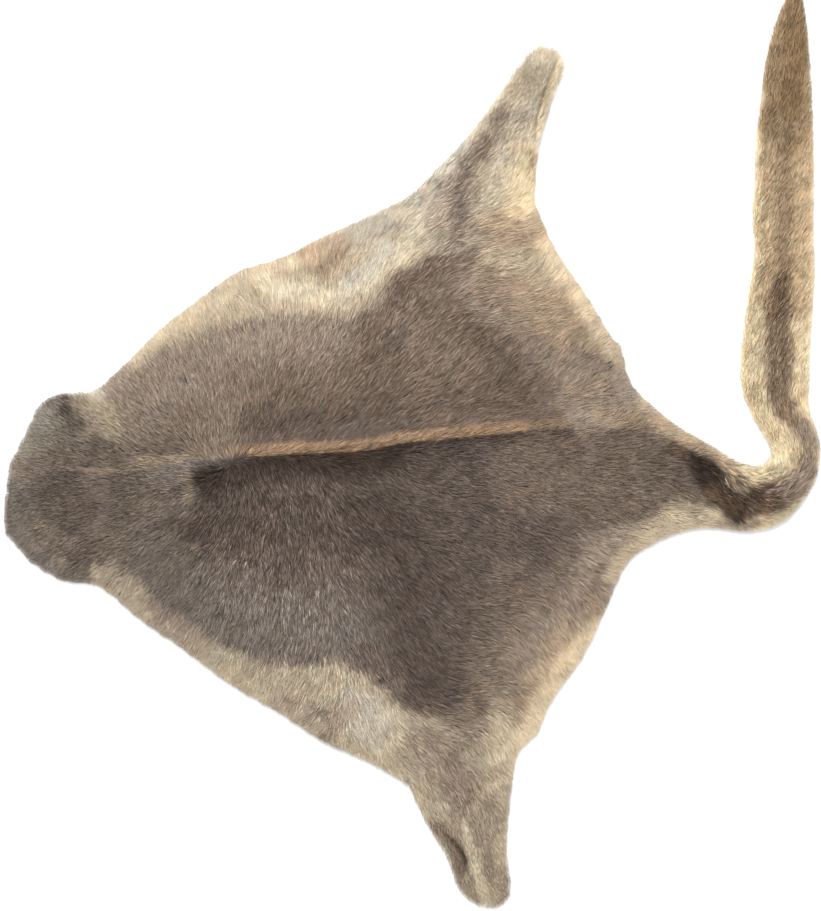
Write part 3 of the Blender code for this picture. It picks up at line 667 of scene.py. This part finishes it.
def solid_surfaces():
    """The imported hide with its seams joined, ready for rays, and its outline in survey millimetres."""
    mesh = bmesh.new()
    mesh.from_mesh(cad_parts["hide"].data)
    bmesh.ops.remove_doubles(mesh, verts=mesh.verts, dist=1e-6)
    bmesh.ops.triangulate(mesh, faces=mesh.faces)
    mesh.normal_update()
    tree = BVHTree.FromBMesh(mesh)
    ways = {}
    for edge in mesh.edges:
        if len(edge.link_faces) == 2:
            first, second = (face.normal.z > 1e-6 for face in edge.link_faces)
            if first != second:
                a, b = edge.verts
                ways.setdefault(a.index, []).append(b.index)
                ways.setdefault(b.index, []).append(a.index)
    mesh.verts.ensure_lookup_table()
    loops = []
    seen = set()
    for start in sorted(ways):
        if start in seen:
            continue
        loop = [start]
        seen.add(start)
        while True:
            onward = [n for n in ways[loop[-1]] if n not in seen]
            if not onward:
                break
            loop.append(onward[0])
            seen.add(onward[0])
        loops.append(loop)
    longest = max(loops, key=len)
    ring = survey([mesh.verts[i].co[:] for i in longest])
    mesh.free()
    after = np.roll(ring, -1, axis=0)
    area = 0.5 * np.sum(ring[:, 0] * after[:, 1] - ring[:, 1] * after[:, 0])
    return tree, ring if area > 0.0 else ring[::-1]


def resampled(ring, step):
    """Points at an even step along a closed ring."""
    closed = np.vstack([ring, ring[:1]])
    run = np.concatenate([[0.0], np.cumsum(np.hypot(*np.diff(closed, axis=0).T))])
    count = max(8, int(run[-1] / step))
    marks = np.linspace(0.0, run[-1], count, endpoint=False)
    return np.column_stack([np.interp(marks, run, closed[:, axis]) for axis in (0, 1)])


tree, outline = solid_surfaces()
low_corner = outline.min(0) - MARGIN
high_corner = outline.max(0) + MARGIN
columns = np.arange(low_corner[0], high_corner[0], LATTICE)
rows = np.arange(low_corner[1], high_corner[1], LATTICE)
grid = np.column_stack([a.ravel() for a in np.meshgrid(columns, rows)])
shape = (len(rows), len(columns))


def cast(spots, from_above):
    """Heights of the solid at the spots, in millimetres, and which spots hit it."""
    heights = np.zeros(len(spots))
    hit = np.zeros(len(spots), bool)
    start = 1.0 if from_above else -1.0
    way = Vector((0.0, 0.0, -start))
    flat = spots * MM + SHIFT
    for i, (x, y) in enumerate(flat):
        place = tree.ray_cast(Vector((x, y, start)), way)[0]
        if place is not None:
            heights[i] = place.z / MM
            hit[i] = True
    return heights, hit


def lattice(values):
    """Values of the whole grid as a lattice."""
    return Lattice(columns[0], rows[0], values)


top_heights, inside = cast(grid, True)
low_heights, _ = cast(grid, False)
inside = inside.reshape(shape)
top = lattice(filled(top_heights.reshape(shape), inside, SPREAD_ROUNDS))
low = lattice(filled(low_heights.reshape(shape), inside, SPREAD_ROUNDS))

fine_outline = resampled(outline, OUTLINE_STEP)
nearest = KDTree(len(fine_outline))
for index, (x, y) in enumerate(fine_outline):
    nearest.insert((x, y, 0.0), index)
nearest.balance()
gaps = np.array([nearest.find((x, y, 0.0))[2] for x, y in grid]).reshape(shape)
signed = np.where(inside, gaps, -gaps)
depth = lattice(signed)
slope_y, slope_x = np.gradient(signed, LATTICE)
outward_x = lattice(-slope_x)
outward_y = lattice(-slope_y)


def outward(spots):
    """Unit vectors towards the nearest outline."""
    way = np.column_stack([outward_x.at(spots), outward_y.at(spots)])
    return way / np.maximum(np.hypot(way[:, 0], way[:, 1]), 1e-6)[:, None]


def pit_cover(spots):
    """1 where a scar leaves the skin bare."""
    bare = np.zeros(len(spots))
    for pit in PITS:
        reach = np.hypot((spots[:, 0] - pit.x) / pit.across, (spots[:, 1] - pit.y) / pit.along)
        bare = np.maximum(bare, reach < 1.0)
    return bare


def mesh_from(name, points, triangles):
    """A mesh object from arrays, at the origin."""
    mesh = bpy.data.meshes.new(name)
    mesh.vertices.add(len(points))
    mesh.vertices.foreach_set("co", np.asarray(points, np.float32).ravel())
    mesh.loops.add(3 * len(triangles))
    mesh.loops.foreach_set("vertex_index", np.asarray(triangles, np.int32).ravel())
    mesh.polygons.add(len(triangles))
    mesh.polygons.foreach_set("loop_start", np.arange(0, 3 * len(triangles), 3, dtype=np.int32))
    mesh.polygons.foreach_set("loop_total", np.full(len(triangles), 3, np.int32))
    mesh.update(calc_edges=True)
    piece = bpy.data.objects.new(name, mesh)
    bpy.context.scene.collection.objects.link(piece)
    return piece


def colour_points(piece, name, colours):
    """Stores a colour for each vertex."""
    attribute = piece.data.color_attributes.new(name, "FLOAT_COLOR", "POINT")
    full = np.ones((len(colours), 4), np.float32)
    full[:, :3] = colours
    attribute.data.foreach_set("color", full.ravel())


# Skin sheet

def skin_sheet():
    """The tanned skin: a thin closed sheet under the coat, on the solid's folds."""
    rim = resampled(outline, SKIN_RIM_STEP)
    rim = rim - SKIN_INSET * outward(rim)
    side = SKIN_STEP
    xs = np.arange(low_corner[0], high_corner[0], side)
    ys = np.arange(low_corner[1], high_corner[1], side * SKIN_ROW)
    gx, gy = np.meshgrid(xs, ys)
    gx = gx + (np.arange(len(ys)) % 2)[:, None] * side / 2.0
    inner = np.column_stack([gx.ravel(), gy.ravel()])
    inner = inner[depth.at(inner) > SKIN_INSET + side * SKIN_ROOM]
    spots = np.vstack([rim, inner])
    count = len(rim)
    ring = [(i, (i + 1) % count) for i in range(count)]
    filling = delaunay_2d_cdt([Vector(p) for p in spots], ring, [list(range(count))], 1, 1e-5)
    flat = np.array([tuple(p) for p in filling[0]])
    faces = np.array(filling[2])
    below = np.maximum(low.at(flat), 0.0)
    bottom = placed(flat, below)
    upper = placed(flat, below + SKIN)
    total = len(flat)
    underside = faces[:, ::-1] + total
    edges = {}
    for a, b, c in faces:
        for pair in ((a, b), (b, c), (c, a)):
            edges[pair] = edges.get(pair, 0) + 1
    wall = []
    for a, b in edges:
        if (b, a) not in edges:
            wall.append((a, b + total, b))
            wall.append((a, a + total, b + total))
    points = np.vstack([upper, bottom])
    triangles = np.vstack([faces, underside, np.array(wall)])
    piece = mesh_from("skin", points, triangles)
    coat = paint(flat)
    bare = pit_cover(flat)[:, None]
    pale = ease(coat.mean(1) / PALE_LEVEL)[:, None]
    shade = coat * (UNDERCOAT_SHADE + PALE_UNDERCOAT * pale) * (1.0 - bare) + linear(SCAR) * bare
    colour_points(piece, "undercoat", np.vstack([shade, shade]))
    hair_side = np.concatenate([np.ones(total), np.zeros(total)]).astype(np.float32)
    piece.data.attributes.new("hair_side", "FLOAT", "POINT").data.foreach_set("value", hair_side)
    return piece


# Coat

# Every hair and lock has a whole number. Its random values come from that number and a fixed seed.
SEED_STEP = 7919
FIRST_MIX = np.uint64(11400714819323198485)
SECOND_MIX = np.uint64(13787848793156543929)
CELLS = 4096


def spread(key, seed):
    """An even random value from -1 to 1 that depends only on a whole number and a seed."""
    mixed = (np.asarray(key, np.uint64) + np.uint64(seed * SEED_STEP)) * FIRST_MIX
    mixed ^= mixed >> np.uint64(29)
    mixed *= SECOND_MIX
    mixed ^= mixed >> np.uint64(32)
    return (mixed >> np.uint64(11)).astype(float) / float(1 << 53) * 2.0 - 1.0


def bell(key, seed):
    """A bell-shaped random value of spread about 1."""
    return spread(key, seed) + spread(key, seed + 1) + spread(key, seed + 2)


def turned(ways, angles):
    """Vectors turned by angles in radians."""
    c = np.cos(angles)
    s = np.sin(angles)
    return np.column_stack([ways[:, 0] * c - ways[:, 1] * s, ways[:, 0] * s + ways[:, 1] * c])


def locks_of(roots):
    """Number and centre of the lock that each root belongs to."""
    heading, _ = combed(roots)
    cells = np.floor(roots / LOCK_GAP).astype(int)
    best = np.full(len(roots), np.inf)
    centre = np.zeros_like(roots)
    number = np.zeros(len(roots), int)
    for step_y in (-2, -1, 0, 1, 2):
        for step_x in (-2, -1, 0, 1, 2):
            cell = cells + (step_x, step_y)
            key = (cell[:, 0] + CELLS) * 2 * CELLS + cell[:, 1] + CELLS
            scatter = np.column_stack([spread(key, 1), spread(key, 2)])
            place = (cell + 0.5 + LOCK_SCATTER * scatter) * LOCK_GAP
            gap = roots - place
            along = gap[:, 0] * heading[:, 0] + gap[:, 1] * heading[:, 1]
            across = -gap[:, 0] * heading[:, 1] + gap[:, 1] * heading[:, 0]
            distance = (along / LOCK_STRETCH) ** 2 + across ** 2
            nearer = distance < best
            best = np.where(nearer, distance, best)
            centre = np.where(nearer[:, None], place, centre)
            number = np.where(nearer, key, number)
    return number, centre


def hair_roots():
    """Root spots of the hairs: an uneven lattice over the hide."""
    xs = np.arange(low_corner[0], high_corner[0], HAIR_GAP)
    ys = np.arange(low_corner[1], high_corner[1], HAIR_GAP)
    gx, gy = np.meshgrid(xs, ys)
    roots = np.column_stack([gx.ravel(), gy.ravel()])
    key = np.arange(len(roots))
    roots = roots + 0.5 * HAIR_GAP * np.column_stack([spread(key, 21), spread(key, 22)])
    keep = (depth.at(roots) > RIM_ROOM) & (pit_cover(roots) < 0.5)
    return roots[keep], key[keep]


def laid(heading, turn, fan, out):
    """Headings turned by an angle and then fanned outwards."""
    way = turned(heading, turn)
    way = way * (1.0 - fan) + out * fan
    return way / np.hypot(way[:, 0], way[:, 1])[:, None]


def hair_tips(roots, key, number, centre):
    """Tips of the hairs, drawn towards the tips of their locks and kept inside the ragged rim."""
    heading, length = combed(roots)
    lock_heading, lock_length = combed(centre)
    out = outward(roots)
    fan = RIM_TURN * (1.0 - ease(depth.at(roots) / RIM_FAN))[:, None]
    mess = MESS + LONG_MESS * ease((length - LONG_HAIR) / (LONGEST_HAIR - LONG_HAIR))
    wave = WAVE * ripple(roots, WAVE_SIZE, 12)
    way = laid(heading, mess * bell(key, 31) + wave, fan, out)
    lock_way = laid(lock_heading, LOCK_MESS * mess * bell(number, 41) + wave, fan, out)
    reach = length * (REACH + REACH_SPREAD * spread(key, 51))
    lock_reach = lock_length * (LOCK_REACH + LOCK_REACH_SPREAD * spread(number, 52))
    tips = roots + way * reach[:, None]
    lock_tips = centre + lock_way * lock_reach[:, None]
    tips = tips + LOCK_PULL * (lock_tips - tips)
    run = tips - roots
    beyond = -depth.at(tips) - RIM_REACH - RIM_RAGS * spread(key, 61)
    outwards = np.maximum((run * out).sum(1), 1e-3)
    allowed = np.clip((outwards - np.maximum(beyond, 0.0)) / outwards, RIM_SHORTEST, 1.0)
    return roots + run * allowed[:, None]


def hair_points(roots, tips, key, guard, lift):
    """Root, right edge, tip and left edge of each hair."""
    run = tips - roots
    far = np.maximum(np.hypot(run[:, 0], run[:, 1]), SHORTEST)
    way = run / far[:, None]
    side = np.column_stack([-way[:, 1], way[:, 0]])
    width = HAIR_WIDTH * (WIDTH_MEAN + WIDTH_SPREAD * spread(key, 71))
    width = width * np.clip(far / FULL_WIDTH, THINNEST, 1.0)
    middle = roots + run * HAIR_MIDDLE
    left = middle + side * (width / 2.0)[:, None]
    right = middle - side * (width / 2.0)[:, None]
    deep = np.where(guard, GUARD_DEPTH, COAT_DEPTH * (1.0 + DEPTH_SPREAD * spread(key, 74)))
    root_z = np.maximum(top.at(roots) - deep, low.at(roots) + SKIN / 2.0)
    tip_z = top.at(tips) + TIP_LIFT + lift + TIP_SPREAD * spread(key, 73)
    tip_z = np.maximum(tip_z, low.at(tips) + SKIN + TIP_ROOM)
    middle_z = root_z + (tip_z - root_z) * (HAIR_MIDDLE + HAIR_BULGE)
    middle_z = np.minimum(middle_z, top.at(middle) - MIDDLE_SUNK)
    edge_z = middle_z - HAIR_ROOF * width
    corners = [placed(roots, root_z), placed(right, edge_z), placed(tips, tip_z), placed(left, edge_z)]
    return np.stack(corners, 1)


def hair_tints(roots, seen, base, pale, key, number, guard):
    """Colour of each hair: the painted one, varied from lock to lock and from hair to hair."""
    near = KNOT_REACH - np.hypot(roots[:, 0] - KNOT[0], roots[:, 1] - KNOT[1])
    strand = (spread(number, 97) > 1.0 - 2.0 * KNOT_SHARE) * ease(near / KNOT_BLUR)
    strand = KNOT_STRENGTH * strand[:, None]
    base = base * (1.0 - strand) + linear(PALETTE["fawn"]) * strand
    lively = (1.0 - PALE_CALM * pale) * tousled(seen)
    tone = COAT_GAIN * np.exp((LOCK_TONE * bell(number, 81) + HAIR_TONE * bell(key, 85)) * lively)
    tone *= np.where(guard, 1.0 + GUARD_GLOW * lively, 1.0)
    warm = LOCK_WARMTH * bell(number, 91)
    tint = np.column_stack([1.0 + warm, np.ones(len(base)), 1.0 - warm])
    return base * tone[:, None] * tint


def hair_field():
    """Roots, points and colours of all the hairs, four points to a hair."""
    roots, key = hair_roots()
    number, centre = locks_of(roots)
    tips = hair_tips(roots, key, number, centre)
    guard = spread(key, 95) > 1.0 - 2.0 * GUARD_SHARE
    seen = roots + (tips - roots) * HAIR_SEEN
    base = paint(seen)
    pale = ease(base.mean(1) / PALE_LEVEL)
    lift = (LOCK_LIFT * spread(number, 72) + GUARD_LIFT * guard) * (1.0 - PALE_LIE * pale)
    points = hair_points(roots, tips, key, guard, lift)
    scar = pit_cover(seen)
    points[:, 2, 2] -= PIT_DIP * MM * scar
    base = hair_tints(roots, seen, base, pale, key, number, guard)
    base = np.where(scar[:, None] > 0.5, linear(SCAR), base)
    root = base * (ROOT_SHADE + PALE_ROOT * pale)[:, None]
    middle = base * (MIDDLE_SHADE + PALE_MIDDLE * pale)[:, None]
    colours = np.stack([root, middle, base * TIP_SHADE, middle], 1)
    return roots, points, np.clip(colours, 0.0, BRIGHTEST)


def coat_pieces(material):
    """The coat as one mesh for each patch."""
    roots, points, colours = hair_field()
    pieces = []
    left_over = np.ones(len(roots), bool)
    for patch in PATCHES:
        x, y = roots.T
        chosen = left_over & (x >= patch.west) & (x < patch.east)
        chosen &= (y >= patch.south) & (y < patch.north)
        left_over &= ~chosen
        count = int(chosen.sum())
        start = 4 * np.arange(count)[:, None]
        triangles = np.concatenate([start + (0, 1, 2), start + (0, 2, 3)], 1).reshape(-1, 3)
        piece = mesh_from(patch.name, points[chosen].reshape(-1, 3), triangles)
        colour_points(piece, "coat", colours[chosen].reshape(-1, 3))
        piece.data.materials.append(material)
        pieces.append(piece)
        print(patch.name, 2 * count)
    return pieces


# Materials

def bare_material(name, roughness, specular):
    """A new material with its shader, nodes and links."""
    material = bpy.data.materials.new(name)
    material.use_nodes = True
    nodes = material.node_tree.nodes
    shader = nodes["Principled BSDF"]
    shader.inputs["Roughness"].default_value = roughness
    shader.inputs["Specular IOR Level"].default_value = specular
    return material, shader, nodes, material.node_tree.links


def own_values(nodes, name):
    """A node that reads one of the piece's own attributes."""
    node = nodes.new("ShaderNodeAttribute")
    node.attribute_name = name
    return node


def noise_on(nodes, links, place, scale, detail):
    """Noise on the Object coordinates of a place node."""
    noise = nodes.new("ShaderNodeTexNoise")
    noise.inputs["Scale"].default_value = scale
    noise.inputs["Detail"].default_value = detail
    links.new(place.outputs["Object"], noise.inputs["Vector"])
    return noise.outputs["Fac"]


def coat_material():
    """Matt hair: its own colour, a little uneven."""
    material, shader, nodes, links = bare_material("kangaroo coat", 0.72, 0.22)
    colour = own_values(nodes, "coat")
    place = nodes.new("ShaderNodeTexCoord")
    noise = noise_on(nodes, links, place, 70.0, 3.0)
    vary = nodes.new("ShaderNodeMapRange")
    for name, value in (("From Min", 0.25), ("From Max", 0.75), ("To Min", 0.9), ("To Max", 1.1)):
        vary.inputs[name].default_value = value
    links.new(noise, vary.inputs["Value"])
    blend = nodes.new("ShaderNodeVectorMath")
    blend.operation = "SCALE"
    links.new(colour.outputs["Color"], blend.inputs[0])
    links.new(vary.outputs["Result"], blend.inputs["Scale"])
    links.new(blend.outputs["Vector"], shader.inputs["Base Color"])
    return material


def skin_material():
    """Undercoat on the hair side, cream grey suede on the flesh side."""
    material, shader, nodes, links = bare_material("tanned skin", 0.88, 0.2)
    under = own_values(nodes, "undercoat")
    side = own_values(nodes, "hair_side")
    place = nodes.new("ShaderNodeTexCoord")
    suede = nodes.new("ShaderNodeMix")
    suede.data_type = "RGBA"
    suede.inputs["A"].default_value = (0.60, 0.53, 0.43, 1.0)
    suede.inputs["B"].default_value = (0.47, 0.41, 0.33, 1.0)
    links.new(noise_on(nodes, links, place, 9.0, 5.0), suede.inputs["Factor"])
    mix = nodes.new("ShaderNodeMix")
    mix.data_type = "RGBA"
    links.new(side.outputs["Fac"], mix.inputs["Factor"])
    links.new(suede.outputs["Result"], mix.inputs["A"])
    links.new(under.outputs["Color"], mix.inputs["B"])
    links.new(mix.outputs["Result"], shader.inputs["Base Color"])
    bump = nodes.new("ShaderNodeBump")
    bump.inputs["Strength"].default_value = 0.35
    bump.inputs["Distance"].default_value = 0.0006
    links.new(noise_on(nodes, links, place, 900.0, 4.0), bump.inputs["Height"])
    links.new(bump.outputs["Normal"], shader.inputs["Normal"])
    return material


def floor_material():
    """Plain pale matt floor."""
    material, shader, _, _ = bare_material("pale floor", 0.9, 0.1)
    shader.inputs["Base Color"].default_value = (0.92, 0.92, 0.92, 1.0)
    return material


skin = skin_sheet()
skin.data.materials.append(skin_material())
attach(skin, "root")
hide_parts("hide")

coat = coat_pieces(coat_material())
for piece in coat:
    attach(piece, "root")

# Floor, light and camera

FLOOR_SIZE = 12.0
FLOOR_DROP = 0.0005
ROOM_LIGHT = 0.92
WINDOW_PLACE = (-0.4, 3.4, 3.2)
WINDOW_SIZE = 1.6
WINDOW_POWER = 170.0
DISTANCE = 5.0
SENSOR = 36.0
VIEW_HEIGHT = 1.3665

bpy.ops.mesh.primitive_plane_add(size=FLOOR_SIZE, location=(0.0, 0.0, -FLOOR_DROP))
floor = bpy.context.object
floor.name = "floor"
floor.data.materials.append(floor_material())

world = bpy.data.worlds.new("soft room")
bpy.context.scene.world = world
world.use_nodes = True
world.node_tree.nodes["Background"].inputs["Color"].default_value = (1.0, 1.0, 1.0, 1.0)
world.node_tree.nodes["Background"].inputs["Strength"].default_value = ROOM_LIGHT

window_data = bpy.data.lights.new("window", "AREA")
window_data.shape = "SQUARE"
window_data.size = WINDOW_SIZE
window_data.energy = WINDOW_POWER
window = bpy.data.objects.new("window", window_data)
window.location = WINDOW_PLACE
window.rotation_euler = (-Vector(WINDOW_PLACE)).to_track_quat("-Z", "Y").to_euler()
bpy.context.scene.collection.objects.link(window)

camera_data = bpy.data.cameras.new("camera")
camera_data.sensor_width = SENSOR
camera_data.lens = SENSOR * DISTANCE / VIEW_HEIGHT
camera = bpy.data.objects.new("camera", camera_data)
camera.location = (SHIFT[0], SHIFT[1], DISTANCE)
bpy.context.scene.collection.objects.link(camera)
bpy.context.scene.camera = camera

bpy.context.scene.view_settings.view_transform = "Standard"
bpy.context.scene.view_settings.look = "None"
